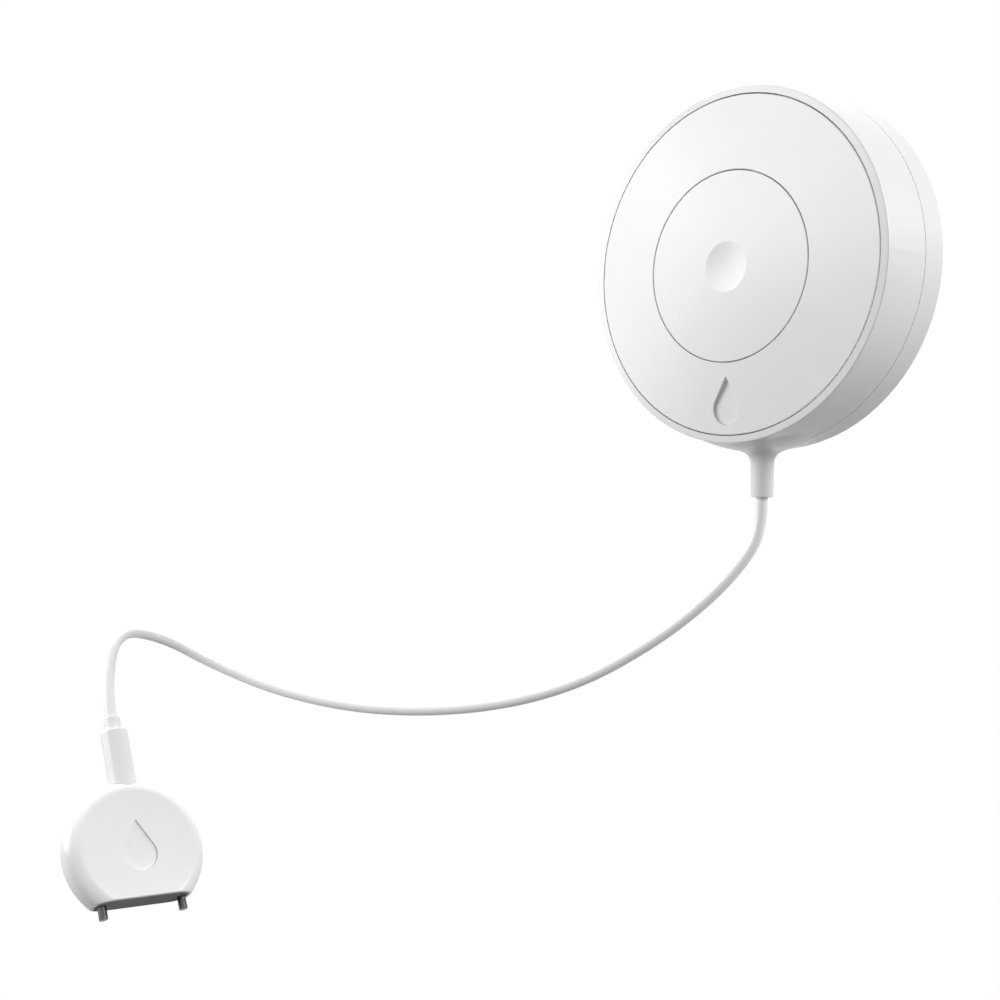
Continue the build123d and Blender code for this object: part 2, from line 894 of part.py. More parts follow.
# The probe's round body with its two rounded rims, cut flat at the base
def puck(inset):
    radius = probe_radius - inset
    front, back = inset, probe_thickness - inset
    profile = make_face(Polyline((0, front), (radius, front), (radius, back), (0, back), close=True))
    profile = fillet(profile.vertices().sort_by_distance((radius, front, 0))[0], probe_front_round - inset)
    profile = fillet(profile.vertices().sort_by_distance((radius, back, 0))[0], probe_back_round - inset)
    body = revolve(profile, Axis.Y)
    return split(body, Plane.XY.offset(inset - probe_base), keep=Keep.TOP)


def probe_shell():
    outer = puck(0)
    base_edges = outer.faces().sort_by(Axis.Z)[0].edges()
    shell = fillet(base_edges, probe_base_round) - puck(probe_wall)
    middle = probe_thickness / 2
    shell -= Pos(0, middle, probe_radius) * Cylinder(probe_neck_radius + fit, 2 * probe_radius - probe_wall)
    for side in (-1, 1):
        x = side * pin_spacing / 2
        shell -= Pos(x, middle, -probe_base) * Cylinder(pin_radius + fit, 2 * probe_wall + overrun)
        seat_height = probe_wall - pin_seal_floor + overrun
        seat_z = -probe_base + pin_seal_floor + seat_height / 2
        shell -= Pos(x, middle, seat_z) * Cylinder(pin_radius + 2 * pin_seal_radius + 2 * fit, seat_height)
    figure = Pos(0, probe_drop_height) * drop_figure(probe_drop_radius)
    return shell - prism(figure, -probe_drop_depth, overrun)


def probe_front_shell():
    return split(probe_shell(), Plane.XZ.offset(-probe_thickness / 2), keep=Keep.TOP)


def probe_rear_shell():
    return split(probe_shell(), Plane.XZ.offset(-probe_thickness / 2), keep=Keep.BOTTOM)


def boot_top():
    return probe_radius + probe_boot_length


def on_probe_axis(part):
    return Pos(0, probe_thickness / 2, 0) * part


def probe_flange_low():
    return probe_radius - probe_wall - probe_neck_flange


def probe_boot():
    flange_low = probe_flange_low()
    outline = Polyline(
        (0, flange_low + probe_neck_flange / 2),
        (probe_neck_radius, flange_low + probe_neck_flange / 2),
        (probe_neck_radius, probe_radius),
        (probe_boot_radius, probe_radius),
        (probe_boot_radius, boot_top()),
        (0, boot_top()),
        close=True,
    )
    boot = on_probe_axis(spun(outline))
    rim = boot.edges().filter_by(GeomType.CIRCLE).sort_by(Axis.Z)[-1]
    boot = fillet(rim, edge_radius)
    foot = Pos(0, 0, probe_radius) * Cylinder(probe_boot_radius, 2 * probe_boot_radius)
    boot += on_probe_axis(foot) - puck(-fit)
    flange = Pos(0, 0, flange_low + probe_neck_flange / 2) * Cylinder(probe_neck_flange_radius, probe_neck_flange)
    boot += on_probe_axis(flange) & puck(probe_wall + fit)
    bore = Pos(0, 0, (boot_top() + flange_low) / 2) * Cylinder(cable_hole_radius, boot_top())
    seat = Pos(0, 0, boot_top() - sleeve_seat / 2) * Cylinder(sleeve_radius + fit, sleeve_seat)
    return boot - on_probe_axis(bore) - on_probe_axis(seat)


def probe_sleeve():
    length = sleeve_length + sleeve_seat - fit
    middle = boot_top() + sleeve_length - length / 2
    sleeve = Pos(0, 0, middle) * Cylinder(sleeve_radius, length)
    bore = Pos(0, 0, middle) * Cylinder(cable_hole_radius, length + overrun)
    return on_probe_axis(sleeve - bore)


def probe_tail_low():
    return probe_flange_low() - tail_extra


def probe_tail():
    top = boot_top() + sleeve_length
    low = probe_tail_low()
    return on_probe_axis(Pos(0, 0, (top + low) / 2) * Cylinder(cable_radius, top - low))


def probe_board_z():
    return -probe_base + probe_wall + probe_board_lift + probe_board_thickness / 2


def probe_board():
    board = Pos(0, 0, probe_board_z()) * Box(probe_board_length, probe_board_width, probe_board_thickness)
    for side in (-1, 1):
        hole = Pos(side * pin_spacing / 2, 0, probe_board_z()) * Cylinder(pin_radius + fit, 2 * probe_board_thickness)
        board -= hole
    return on_probe_axis(board)


def probe_pins():
    pins = []
    head_z = probe_board_z() + probe_board_thickness / 2
    tip_z = -probe_base - pin_reach
    for side in (-1, 1):
        pin = Pos(0, 0, (head_z + tip_z) / 2) * Cylinder(pin_radius, head_z - tip_z)
        pin = fillet(pin.edges().filter_by(GeomType.CIRCLE).sort_by(Axis.Z)[0], pin_tip_round)
        pin += Pos(0, 0, head_z + pin_head_height / 2) * Cylinder(pin_head_radius, pin_head_height)
        pins.append(on_probe_axis(Pos(side * pin_spacing / 2, 0, 0) * pin))
    return pins


def pin_seals():
    seals = []
    for side in (-1, 1):
        ring = Torus(pin_radius + pin_seal_radius + fit, pin_seal_radius)
        middle = -probe_base + pin_seal_floor + pin_seal_radius + fit
        seals.append(on_probe_axis(Pos(side * pin_spacing / 2, 0, middle) * ring))
    return seals


def probe_leads():
    leads = []
    for side in (-1, 1):
        top = probe_tail_low()
        low = probe_board_z() + probe_board_thickness / 2
        bend = (top - low) / 4
        near, far = side * lead_spacing / 2, side * probe_lead_spread / 2
        points = [(near, 0, top), (near, 0, top - bend), (far, 0, low + bend), (far, 0, low)]
        leads.append(on_probe_axis(tube(points, lead_radius)[0]))
    return leads


def cord_route():
    leave = (0, -boot_depth, boot_end())
    leave_next = (0, -boot_depth, boot_end() - first_run)
    reach = probe_point(boot_top() + sleeve_length)
    reach_next = probe_point(boot_top() + sleeve_length + last_run)
    return [leave, leave_next] + cord_points + [tuple(reach_next), tuple(reach)]


def probe_cable():
    cord, bends, length = tube(cord_route(), cable_radius)
    share = cord.volume / (pi * cable_radius**2 * length)
    print("cord length", round(length, 1), "volume over section times length", round(share, 4))
    print("cord bend radii", [round(bend, 1) for bend in bends])
    return cord


def save(name, shape):
    if isinstance(shape, list):
        shape = Compound(children=shape)
    export_step(shape, f"parts/{name}.step")


disc_parts = {
    "front_housing": front_housing,
    "face_plate": face_plate,
    "drop_lens": drop_lens,
    "button_cap": button_cap,
    "main_board": main_board,
    "board_screws": board_screws,
    "switch_body": switch_body,
    "switch_plunger": switch_plunger,
    "status_led": status_led,
    "radio_module": radio_module,
    "radio_shield": radio_shield,
    "buzzer": buzzer,
    "board_chips": board_chips,
    "battery_tray": battery_tray,
    "battery_cells": battery_cells,
    "battery_contacts": battery_contacts,
    "rear_housing": rear_housing,
    "housing_seal": housing_seal,
    "housing_screws": housing_screws,
    "battery_door": battery_door,
    "door_seal": door_seal,
    "cable_boot": cable_boot,
    "cable_tail": cable_tail,
    "lead_socket": lead_socket,
    "lead_plug": lead_plug,
    "sensor_leads": sensor_leads,
    "probe_cable": probe_cable,
}
probe_parts = {
    "probe_front_shell": probe_front_shell,
    "probe_rear_shell": probe_rear_shell,
    "probe_boot": probe_boot,
    "probe_sleeve": probe_sleeve,
    "probe_tail": probe_tail,
    "probe_board": probe_board,
    "probe_pins": probe_pins,
    "pin_seals": pin_seals,
    "probe_leads": probe_leads,
}
for name, make in disc_parts.items():
    save(name, make())
for name, make in probe_parts.items():
    shape = make()
    save(name, [placed(part) for part in shape] if isinstance(shape, list) else placed(shape))
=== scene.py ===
from math import cos, degrees, hypot, pi, radians, sin, sqrt

import bmesh
import bpy
from mathutils import Matrix, Vector


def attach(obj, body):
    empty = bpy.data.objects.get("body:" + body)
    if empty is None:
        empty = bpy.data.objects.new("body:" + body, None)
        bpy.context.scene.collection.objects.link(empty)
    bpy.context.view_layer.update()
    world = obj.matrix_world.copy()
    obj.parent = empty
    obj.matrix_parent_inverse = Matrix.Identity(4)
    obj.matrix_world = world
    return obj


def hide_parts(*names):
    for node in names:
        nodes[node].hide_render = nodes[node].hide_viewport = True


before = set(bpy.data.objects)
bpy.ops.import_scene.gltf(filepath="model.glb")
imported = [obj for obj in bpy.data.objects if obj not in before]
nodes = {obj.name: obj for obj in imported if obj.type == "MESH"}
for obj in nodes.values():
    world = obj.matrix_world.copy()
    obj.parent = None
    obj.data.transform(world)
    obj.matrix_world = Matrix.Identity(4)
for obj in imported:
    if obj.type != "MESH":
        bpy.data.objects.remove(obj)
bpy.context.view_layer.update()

mm = 0.001  # metres
weldDistance = 0.001 * mm


# Helpers for materials
def linearColour(hexCode):
    channels = [int(hexCode[i:i + 2], 16) / 255 for i in (0, 2, 4)]
    return [c / 12.92 if c <= 0.04045 else ((c + 0.055) / 1.055) ** 2.4 for c in channels] + [1.0]


def addNode(tree, kind, settings=None, links=None):
    node = tree.nodes.new(kind)
    for name, value in (settings or {}).items():
        if name in node.inputs:
            node.inputs[name].default_value = value
        else:
            setattr(node, name, value)
    for name, source in (links or {}).items():
        tree.links.new(source, node.inputs[name])
    return node


def startMaterial(name):
    material = bpy.data.materials.new(name)
    material.use_nodes = True
    return material, material.node_tree, material.node_tree.nodes["Principled BSDF"]


# What every moulded surface shares: a slow drift of colour and a fine grain in gloss and height
mould = {
    "shadeUpTo": 0.35,
    "colourFrom": 0.65,
    "cloudDetail": 2.0,
    "grainDetail": 3.0,
    "grainHeight": 0.1,  # share of the grain's width
}


def mouldedMaterial(name, look):
    material, tree, shader = startMaterial(name)
    place = addNode(tree, "ShaderNodeTexCoord").outputs["Object"]
    cloud = addNode(tree, "ShaderNodeTexNoise",
                    {"Scale": 1 / look["cloudSize"], "Detail": mould["cloudDetail"]},
                    {"Vector": place})
    grain = addNode(tree, "ShaderNodeTexNoise",
                    {"Scale": 1 / look["grainSize"], "Detail": mould["grainDetail"]},
                    {"Vector": place})
    tint = addNode(tree, "ShaderNodeValToRGB", {}, {"Fac": cloud.outputs["Fac"]})
    shade, colour = tint.color_ramp.elements
    shade.color = linearColour(look["shade"])
    shade.position = mould["shadeUpTo"]
    colour.color = linearColour(look["colour"])
    colour.position = mould["colourFrom"]
    gloss = addNode(tree, "ShaderNodeMapRange",
                    {"To Min": look["roughness"] - look["roughnessSpread"],
                     "To Max": look["roughness"] + look["roughnessSpread"]},
                    {"Value": grain.outputs["Fac"]})
    bump = addNode(tree, "ShaderNodeBump",
                   {"Strength": look["bump"], "Distance": look["grainSize"] * mould["grainHeight"]},
                   {"Height": grain.outputs["Fac"]})
    tree.links.new(tint.outputs["Color"], shader.inputs["Base Color"])
    tree.links.new(gloss.outputs["Result"], shader.inputs["Roughness"])
    tree.links.new(bump.outputs["Normal"], shader.inputs["Normal"])
    shader.inputs["IOR"].default_value = look["ior"]
    shader.inputs["Metallic"].default_value = look.get("metallic", 0.0)
    shader.inputs["Specular IOR Level"].default_value = look.get("specular", 0.5)
    return material


def dress(material, *names):
    for name in names:
        mesh = nodes[name].data
        mesh.materials.clear()
        mesh.materials.append(material)


# Helpers for shapes
def rotateCorners(shape, corners, angle, axis):
    bmesh.ops.rotate(shape, verts=corners, cent=(0, 0, 0),
                     matrix=Matrix.Rotation(radians(angle), 3, axis))


def turnedMesh(outline, steps=96):
    # a closed outline of (radius, height) in millimetres, turned once about Z
    shape = bmesh.new()
    corners = [shape.verts.new((radius * mm, 0, height * mm)) for radius, height in outline]
    for start, end in zip(corners, corners[1:] + corners[:1]):
        shape.edges.new((start, end))
    bmesh.ops.spin(shape, geom=shape.verts[:] + shape.edges[:], cent=(0, 0, 0), axis=(0, 0, 1),
                   angle=2 * pi, steps=steps, use_merge=True)
    bmesh.ops.remove_doubles(shape, verts=shape.verts[:], dist=weldDistance)
    bmesh.ops.recalc_face_normals(shape, faces=shape.faces[:])
    return shape


def addPiece(name, shape, material, sharpAngle=35):
    mesh = bpy.data.meshes.new(name)
    shape.to_mesh(mesh)
    shape.free()
    mesh.polygons.foreach_set("use_smooth", [True] * len(mesh.polygons))
    mesh.set_sharp_from_angle(angle=radians(sharpAngle))
    mesh.materials.append(material)
    piece = bpy.data.objects.new(name, mesh)
    bpy.context.collection.objects.link(piece)
    return piece


# Finishes
# Glossy white ABS: moulded, so almost flat, with a faint ripple in its gloss
whiteAbs = mouldedMaterial("glossyWhiteAbs", {
    "colour": "F1F1F1", "shade": "EDEDED", "cloudSize": 30 * mm, "grainSize": 0.6 * mm,
    "roughness": 0.24, "roughnessSpread": 0.03, "bump": 0.05, "ior": 1.53,
})
# Soft white TPE of the strain reliefs: the shells' white, but with no ripple to catch the light
whiteTpe = mouldedMaterial("satinWhiteTpe", {
    "colour": "F1F1F1", "shade": "EEEEEE", "cloudSize": 12 * mm, "grainSize": 0.6 * mm,
    "roughness": 0.22, "roughnessSpread": 0.02, "bump": 0.02, "ior": 1.5,
})
# White PVC cord jacket: extruded, so a smooth waxy gloss, with a grain coarse enough to show
whitePvc = mouldedMaterial("waxyWhitePvc", {
    "colour": "FAFAFA", "shade": "F8F8F8", "cloudSize": 20 * mm, "grainSize": 3 * mm,
    "roughness": 0.24, "roughnessSpread": 0.02, "bump": 0.02, "ior": 1.5,
})
# Opal acrylic of the status lens: milky; its colour is a shade greyer than the shells round it,
# which is painted shade that dims the flat lens to the face's tone
opalAcrylicPaintedShade = mouldedMaterial("opalAcrylicPaintedShade", {
    "colour": "E6E6E6", "shade": "E3E3E3", "cloudSize": 6 * mm, "grainSize": 0.5 * mm,
    "roughness": 0.3, "roughnessSpread": 0.02, "bump": 0.02, "ior": 1.49,
})
# Nickel-plated brass of the sensing pins: turned, then plated, so dark with a clean glint
nickelPlate = mouldedMaterial("nickelPlate", {
    "colour": "666668", "shade": "58585A", "cloudSize": 2 * mm, "grainSize": 0.2 * mm,
    "roughness": 0.22, "roughnessSpread": 0.05, "bump": 0.05, "ior": 1.45, "metallic": 1.0,
})
# Pad-printed marks: a thin matt ink
greyInk = mouldedMaterial("greyPadInk", {
    "colour": "8E9092", "shade": "86888A", "cloudSize": 4 * mm, "grainSize": 0.2 * mm,
    "roughness": 0.55, "roughnessSpread": 0.04, "bump": 0.03, "ior": 1.5,
})
# Zinc-plated steel of screws, contacts and shield: pale, with a slightly uneven gloss
zincSteel = mouldedMaterial("zincPlatedSteel", {
    "colour": "B9BBBD", "shade": "A8AAAD", "cloudSize": 2 * mm, "grainSize": 0.2 * mm,
    "roughness": 0.34, "roughnessSpread": 0.08, "bump": 0.1, "ior": 1.45, "metallic": 1.0,
})
# Solder mask of the circuit boards: a thin green lacquer over the weave
solderMask = mouldedMaterial("greenSolderMask", {
    "colour": "1E5B38", "shade": "184C2E", "cloudSize": 8 * mm, "grainSize": 0.5 * mm,
    "roughness": 0.35, "roughnessSpread": 0.06, "bump": 0.06, "ior": 1.5,
})
# Epoxy of chips, buzzer and switch: moulded black, dull and finely grained
blackEpoxy = mouldedMaterial("blackEpoxy", {
    "colour": "1D1D1F", "shade": "161618", "cloudSize": 3 * mm, "grainSize": 0.15 * mm,
    "roughness": 0.55, "roughnessSpread": 0.08, "bump": 0.2, "ior": 1.5,
})
# Glass-filled nylon of the battery tray: black and rough from its fibres
blackNylon = mouldedMaterial("blackGlassNylon", {
    "colour": "232325", "shade": "1B1B1D", "cloudSize": 6 * mm, "grainSize": 0.3 * mm,
    "roughness": 0.6, "roughnessSpread": 0.08, "bump": 0.25, "ior": 1.5,
})
# Natural nylon of plug, socket and plunger: unpigmented ivory with a soft sheen
ivoryNylon = mouldedMaterial("ivoryNylon", {
    "colour": "E4DFD2", "shade": "DAD4C5", "cloudSize": 5 * mm, "grainSize": 0.25 * mm,
    "roughness": 0.45, "roughnessSpread": 0.05, "bump": 0.1, "ior": 1.5,
})
# Shrink film of the cells: blue, tight and glossy
cellSleeve = mouldedMaterial("cellSleeveFilm", {
    "colour": "3C6A9C", "shade": "335C8A", "cloudSize": 9 * mm, "grainSize": 0.4 * mm,
    "roughness": 0.3, "roughnessSpread": 0.05, "bump": 0.05, "ior": 1.5,
})
# Grey silicone of the pad under the probe, whose grey is painted shade: soft and matt, with hardly
# any glint
paintedShadeSilicone = mouldedMaterial("paintedShadeSilicone", {
    "colour": "9C9C9C", "shade": "949494", "cloudSize": 5 * mm, "grainSize": 0.3 * mm,
    "roughness": 0.7, "roughnessSpread": 0.05, "bump": 0.05, "ior": 1.41, "specular": 0.15,
})
# Black silicone of the seal rings: dull rubber
blackSilicone = mouldedMaterial("blackSilicone", {
    "colour": "202022", "shade": "19191B", "cloudSize": 3 * mm, "grainSize": 0.2 * mm,
    "roughness": 0.6, "roughnessSpread": 0.06, "bump": 0.1, "ior": 1.41,
})
# Red silicone round the leads: extruded, so a little smoother
redSilicone = mouldedMaterial("redSiliconeLead", {
    "colour": "A8261F", "shade": "96201A", "cloudSize": 3 * mm, "grainSize": 0.2 * mm,
    "roughness": 0.4, "roughnessSpread": 0.06, "bump": 0.05, "ior": 1.41,
})
dress(whiteAbs, "front_housing", "rear_housing", "face_plate", "button_cap", "battery_door",
      "probe_front_shell", "probe_rear_shell")
dress(whiteTpe, "cable_boot", "probe_boot", "probe_sleeve")
dress(whitePvc, "cable_tail", "probe_tail")
# the lens's greyer colour is painted shade
dress(opalAcrylicPaintedShade, "drop_lens", "status_led")
dress(nickelPlate, "probe_pins")
dress(zincSteel, "housing_screws", "board_screws", "battery_contacts", "radio_shield")
dress(solderMask, "main_board", "radio_module", "probe_board")
dress(blackEpoxy, "board_chips", "buzzer", "switch_body")
dress(blackNylon, "battery_tray")
dress(ivoryNylon, "lead_socket", "lead_plug", "switch_plunger")
dress(cellSleeve, "battery_cells")
dress(blackSilicone, "door_seal", "housing_seal", "pin_seals")
dress(redSilicone, "sensor_leads", "probe_leads")
print("finishes made")

# Cord: it hangs from the disc's boot in a long sag and rises in a hump to the probe
cord = {
    "diameter": 2.9 * mm,
    "length": 240 * mm,
    "roundSteps": 8,
    "routeSteps": 16,
    "curveOrder": 3,
    # route from the disc's boot to the probe's sleeve, in millimetres
    "route": [
        (0.0, -6.0, -53.92),
        (0.0, -6.0, -60.22),
        (-2.0, -7.4, -67.5),
        (-9.2, -12.8, -78.4),
        (-21.5, -19.9, -90.4),
        (-39.7, -30.2, -103.1),
        (-62.1, -42.5, -110.7),
        (-88.6, -56.7, -113.5),
        (-113.8, -68.7, -111.1),
        (-135.7, -78.0, -105.1),
        (-148.9, -87.9, -97.2),
        (-143.2, -104.4, -92.5),
        (-133.07, -112.42, -105.52),
        (-127.22, -113.65, -113.54),
    ],
}


def addCord(name, look):
    curve = bpy.data.curves.new(name, "CURVE")
    curve.dimensions = "3D"
    curve.bevel_depth = look["diameter"] / 2
    curve.bevel_resolution = look["roundSteps"]
    curve.resolution_u = look["routeSteps"]
    curve.use_fill_caps = True
    spline = curve.splines.new("NURBS")
    spline.points.add(len(look["route"]) - 1)
    for point, place in zip(spline.points, look["route"]):
        point.co = [c * mm for c in place] + [1.0]
    spline.order_u = look["curveOrder"]
    spline.use_endpoint_u = True
    piece = bpy.data.objects.new(name, curve)
    bpy.context.collection.objects.link(piece)
    return piece


sensorCord = addCord("sensorCord", cord)
sensorCord.data.materials.append(whitePvc)
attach(sensorCord, "sensor")
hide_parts("probe_cable")
print("cord made")

# Disc's strain relief: its skirt runs out on the shells, which bulge a little there.
# It has the shells' look, so that the skirt ends without a line. Sizes are in millimetres,
# with heights of the outline counted from the shells' lowest point.
discBoot = {
    "axisDepth": 6.0,
    "shellBottom": -43.07,
    # radius, and how far it stands below the shells' surface there
    "skirt": [(6.6, -0.04), (6.1, 0.0), (5.6, 0.06), (5.1, 0.15), (4.6, 0.28), (4.2, 0.43),
              (3.85, 0.63), (3.55, 0.9), (3.3, 1.2), (3.1, 1.55), (2.95, 1.95), (2.86, 2.4),
              (2.82, 3.0)],
    "endRadius": 2.7,
    "endRound": 0.3,
    "endFlare": 0.02,
    "endCurve": [(0.0, 0.6), (0.4, 0.1), (1.0, 0.0)],  # shares of the rounding: inward, upward
    "length": 10.85,
    "boreRadius": 1.5,
    "neckRadius": 2.15,
    "neckFoot": 0.4,
    "rimInset": 0.4,
    "flangeRadius": 3.0,
    "flangeLow": -36.93,
    "flangeHigh": -35.53,
    # how the skirt follows the shells: fully near them, not at all at its lower end
    "followAbove": 0.5,
    "followShare": 0.8,
    "neckMargin": 1.01,
    # the shells' form round it
    "wallRadius": 42.5,
    "wallTaper": 0.0844,
    "bulgeAxis": -13.07,
    "bulgeCentre": (7.318, 5.013),
    "bulgeRadius": 38.08,
}


def shellHeight(x, depth, look):
    wall = look["wallRadius"] - look["wallTaper"] * depth
    centreDepth, centreRadius = look["bulgeCentre"]
    crown = sqrt(look["bulgeRadius"] ** 2 - (depth - centreDepth) ** 2)
    bulge = centreRadius + crown + look["bulgeAxis"]
    return min(-sqrt(wall ** 2 - x ** 2), look["bulgeAxis"] - sqrt(bulge ** 2 - x ** 2))


def followShells(corner, look):
    fade = look["skirt"][-1][1] * mm
    onNeck = hypot(corner.co.x, corner.co.y) < look["neckRadius"] * look["neckMargin"] * mm
    if onNeck or corner.co.z < -fade or corner.co.z >= look["followAbove"] * mm:
        return
    share = min(1.0, (corner.co.z + fade) / (look["followShare"] * fade))
    depth = look["axisDepth"] - corner.co.y / mm
    rise = shellHeight(corner.co.x / mm, depth, look) - look["shellBottom"]
    corner.co.z += share * rise * mm


def addDiscBoot(name, look, material):
    low = -look["length"]
    edge = look["endRound"]
    flangeLow = look["flangeLow"] - look["shellBottom"]
    flangeHigh = look["flangeHigh"] - look["shellBottom"]
    outline = [(radius, -drop) for radius, drop in look["skirt"]]
    outline.append((look["endRadius"] + look["endFlare"], low + edge))
    outline += [(look["endRadius"] - inward * edge, low + upward * edge)
                for inward, upward in look["endCurve"]]
    outline += [
        (look["boreRadius"], low),
        (look["boreRadius"], flangeHigh),
        (look["flangeRadius"], flangeHigh),
        (look["flangeRadius"], flangeLow),
        (look["neckRadius"], flangeLow),
        (look["neckRadius"], look["neckFoot"]),
        (look["skirt"][0][0] - look["rimInset"], look["neckFoot"]),
    ]
    shape = turnedMesh(outline)
    for corner in shape.verts:
        followShells(corner, look)
    bmesh.ops.translate(shape, verts=shape.verts[:],
                        vec=(0, -look["axisDepth"] * mm, look["shellBottom"] * mm))
    return addPiece(name, shape, material)


strainRelief = addDiscBoot("strainRelief", discBoot, whiteAbs)
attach(strainRelief, "sensor")
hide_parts("cable_boot")
print("strain relief made")

# Probe's place: the middle of its front face, and the turns that stand it as it hangs
probePose = {
    "place": (-103.14, -117.9, -139.91),
    "heading": 92.86,
    "lean": -35.81,
    "roll": 8.76,
}
# Grey pad on the flat base round the pins, put there as painted shade for the probe's dark
# underside: a thin slice of the probe's form
paintedShadePad = {
    "radius": 17.75,
    "depth": 7.8,
    "frontRound": 3.4,
    "backRound": 2.8,
    "roundSteps": 8,
    "inset": 0.45,
    "baseHeight": -12.6,
    "sunk": 0.3,
    "proud": 0.08,
}


def addPaintedShadePad(name, look, pose, material):
    inset = look["inset"]
    radius = look["radius"] - inset
    depth = look["depth"] - inset
    front = look["frontRound"] - inset
    back = look["backRound"] - inset
    angles = [radians(90 * step / look["roundSteps"]) for step in range(look["roundSteps"] + 1)]
    outline = [(0, inset)]
    outline += [(radius - front * (1 - sin(angle)), inset + front * (1 - cos(angle)))
                for angle in angles]
    outline += [(radius - back * (1 - cos(angle)), depth - back * (1 - sin(angle)))
                for angle in angles]
    outline.append((0, depth))
    shape = turnedMesh(outline)
    rotateCorners(shape, shape.verts[:], -90, "X")
    top = look["baseHeight"] + look["sunk"]
    bottom = look["baseHeight"] - look["proud"]
    for height, side in ((top, 1), (bottom, -1)):
        cut = bmesh.ops.bisect_plane(
            shape, geom=shape.verts[:] + shape.edges[:] + shape.faces[:],
            plane_co=(0, 0, height * mm), plane_no=(0, 0, side), clear_outer=True)
        edges = [part for part in cut["geom_cut"] if isinstance(part, bmesh.types.BMEdge)]
        bmesh.ops.holes_fill(shape, edges=edges, sides=0)
    bmesh.ops.recalc_face_normals(shape, faces=shape.faces[:])
    turns = (Matrix.Rotation(radians(pose["heading"]), 4, "Z")
             @ Matrix.Rotation(radians(pose["lean"]), 4, "X")
             @ Matrix.Rotation(radians(pose["roll"]), 4, "Y"))
    bmesh.ops.transform(shape, matrix=Matrix.Translation(Vector(pose["place"]) * mm) @ turns,
                        verts=shape.verts[:])
    return addPiece(name, shape, material)


# the grey pad paints shade onto the probe's underside
pinShadePad = addPaintedShadePad("pinShadePad", paintedShadePad, probePose, paintedShadeSilicone)
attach(pinShadePad, "sensor")
print("pin pad made")

# Marks printed on the wall side: which way the battery door turns, and where it is shut and open.
# Angles are in degrees about the disc's axis, and the top of the disc is at -90.
backMarks = {
    "sunk": 0.03,
    "proud": 0.03,
    "top": -90,
    "bandSteps": 0.5,  # per degree
    "arrowRadius": 25.6,
    "arrowWidth": 0.9,
    "arrowTurn": 26,
    "headSize": 1.7,
    "pointerRadius": 29.2,
    "pointerSize": 1.2,
    "spotRadius": 33.6,
    "spotSize": 0.95,
    "spotSides": 32,
    "ringWidth": 0.45,
    "openTurn": 30,
}


def addBand(shape, radius, width, start, turn, look):
    sides = (radius - width / 2, radius + width / 2)
    ends = [shape.verts.new((side * mm, 0, 0)) for side in sides]
    edge = shape.edges.new(ends)
    rotateCorners(shape, ends, start, "Y")
    bmesh.ops.spin(shape, geom=ends + [edge], cent=(0, 0, 0), axis=(0, 1, 0), angle=radians(turn),
                   steps=int(turn * look["bandSteps"]), use_merge=turn == 360)


def moveOut(shape, corners, radius, angle):
    bmesh.ops.translate(shape, verts=corners, vec=(radius * mm, 0, 0))
    rotateCorners(shape, corners, angle, "Y")


def addSpot(shape, radius, angle, size, sides, point=0):
    # with three sides it is a triangle, which points along the turn or, at -90, outwards
    corners = bmesh.ops.create_circle(shape, cap_ends=True, segments=sides,
                                      radius=size * mm)["verts"]
    rotateCorners(shape, corners, -90, "X")
    rotateCorners(shape, corners, point, "Y")
    moveOut(shape, corners, radius, angle)


def addRing(shape, radius, angle, size, look):
    before = set(shape.verts)
    addBand(shape, size - look["ringWidth"] / 2, look["ringWidth"], 0, 360, look)
    moveOut(shape, [corner for corner in shape.verts if corner not in before], radius, angle)


def addArrow(shape, middle, look):
    # the band ends at the foot of its head, so that no faces lie in one another
    start = middle - look["arrowTurn"] / 2
    headFoot = degrees(look["headSize"] / 2 / look["arrowRadius"])
    addBand(shape, look["arrowRadius"], look["arrowWidth"], start, look["arrowTurn"] - headFoot,
            look)
    addSpot(shape, look["arrowRadius"], start + look["arrowTurn"], look["headSize"], 3)


def addMarks(name, shape, look, material, body):
    bmesh.ops.remove_doubles(shape, verts=shape.verts[:], dist=weldDistance)
    bmesh.ops.translate(shape, verts=shape.verts[:], vec=(0, -look["sunk"] * mm, 0))
    grown = bmesh.ops.extrude_face_region(shape, geom=shape.faces[:], use_keep_orig=True)["geom"]
    raised = [part for part in grown if isinstance(part, bmesh.types.BMVert)]
    bmesh.ops.translate(shape, verts=raised, vec=(0, (look["sunk"] + look["proud"]) * mm, 0))
    bmesh.ops.recalc_face_normals(shape, faces=shape.faces[:])
    marks = addPiece(name, shape, material)
    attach(marks, body)


doorShape = bmesh.new()
addArrow(doorShape, backMarks["top"], backMarks)
addArrow(doorShape, backMarks["top"] + 180, backMarks)
addSpot(doorShape, backMarks["pointerRadius"], backMarks["top"], backMarks["pointerSize"], 3,
        point=-90)
addMarks("doorMarks", doorShape, backMarks, greyInk, "door")
shellShape = bmesh.new()
addSpot(shellShape, backMarks["spotRadius"], backMarks["top"], backMarks["spotSize"],
        backMarks["spotSides"])
addRing(shellShape, backMarks["spotRadius"], backMarks["top"] + backMarks["openTurn"],
        backMarks["spotSize"], backMarks)
addMarks("shellMarks", shellShape, backMarks, greyInk, "sensor")
print("back marks made")

# Floor and light: white paper and a white sky, with four soft lamps that shade the whites
studio = {
    "floorHeight": -157 * mm,
    "floorSize": 6.0,  # metres, as the aim, the distance and the size of the lamps
    "floorColour": "666666",
    "floorRoughness": 0.9,
    "floorGlow": 1.025,
    "glossShare": 0.9,
    "mostShare": 0.97,
    "skyStrength": 1.0,
    "fillStrength": 0.53,
    "aim": (-0.05, -0.06, -0.07),
    "lampDistance": 1.1,
    "lampSize": 0.6,
    "lamps": [
        # name, direction seen from above in degrees from +X, height in degrees, power in watts
        ("topLeftLamp", 157, 50, 10.0),
        ("frontLeftLamp", 240, 25, 3.7),
        ("lowLeftLamp", 216, 12, 4.0),
        ("rightLamp", 30, 25, 6.6),
    ],
}


